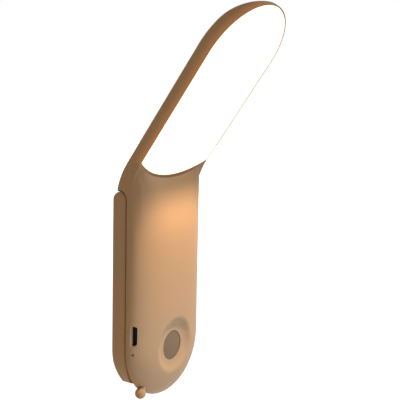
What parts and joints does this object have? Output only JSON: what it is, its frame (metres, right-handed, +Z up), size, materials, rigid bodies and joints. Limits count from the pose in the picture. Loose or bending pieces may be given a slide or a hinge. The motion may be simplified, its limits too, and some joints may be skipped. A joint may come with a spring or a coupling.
{
  "type": "wardrobe light",
  "caption": "Rechargeable wardrobe light: a bent pill-shaped body with a leaning glowing panel, a motion sensor in a dish and a sprung magnetic back clip.",
  "frame": {"origin": "middle of the clip's flat rear face, where it rests on a wall or a steel panel", "axes": "+Y points back out of the clip's rear face, +Z up along the body, +X across to the right seen from the front"},
  "size_m": [0.048, 0.0589, 0.1637],
  "materials": {
    "tan_plastic": "fine matte tan plastic",
    "glowing_panel": "milky white, lit from behind",
    "clear_plastic": "clear polished plastic",
    "white_film": "white reflecting film",
    "white_board": "white coated board",
    "led_white": "small lamp package",
    "cell_foil": "silver pouch foil",
    "grey_foam": "soft dark foam",
    "green_board": "green coated board",
    "socket_steel": "plated socket shell",
    "screw_steel": "blackened screw steel",
    "sensor_can": "sensor can",
    "black_plastic": "black moulded plastic",
    "lens_film": "brown grey translucent lens",
    "white_plastic": "white moulded plastic",
    "red_lead": "insulated lead",
    "grey_silicone": "soft silicone",
    "magnet_nickel": "nickel plated magnet",
    "pin_steel": "drawn steel"
  },
  "bodies": {
    "clip": {"clip_arm": "tan_plastic", "clip_liner": "tan_plastic", "clip_pad": "grey_silicone", "clip_magnets": "magnet_nickel", "hinge_pins": "pin_steel", "clip_spring": "pin_steel"},
    "housing": {"housing_shell": "tan_plastic", "hinge_felt": "grey_foam", "rear_cover": "tan_plastic", "cover_screws": "screw_steel", "panel_diffuser": "glowing_panel", "light_guide": "clear_plastic", "reflector_sheet": "white_film", "led_board": "white_board", "leds": "led_white", "battery_cell": "cell_foil", "battery_foam": "grey_foam", "battery_guard_board": "green_board", "main_board": "green_board", "usb_socket": "socket_steel", "usb_tongue": "black_plastic", "socket_seal": "black_plastic", "charge_light_pipe": "clear_plastic", "charge_led": "led_white", "pir_sensor": "sensor_can", "sensor_shroud": "black_plastic", "pir_lens": "lens_film", "mode_switch": "black_plastic", "board_chips": "black_plastic", "lead_connectors": "white_plastic", "battery_leads": "red_lead", "led_leads": "red_lead"},
    "mode_button": {"mode_button": "tan_plastic"}
  },
  "joints": [
    {"name": "clip_hinge", "type": "hinge", "parent": "clip", "child": "housing", "pos_m": [0, -0.00345, 0.0402], "axis": [-1, 0, 0], "range_deg": [0, 30], "stiffness_Nm_per_rad": 0.2, "springref_deg": -28.65},
    {"name": "button_press", "type": "slide", "parent": "housing", "child": "mode_button", "axis": [0.6691, 0, 0.7431], "range_m": [0, 0.0006], "stiffness_N_per_m": 1000, "springref_m": -0.001}
  ]
}
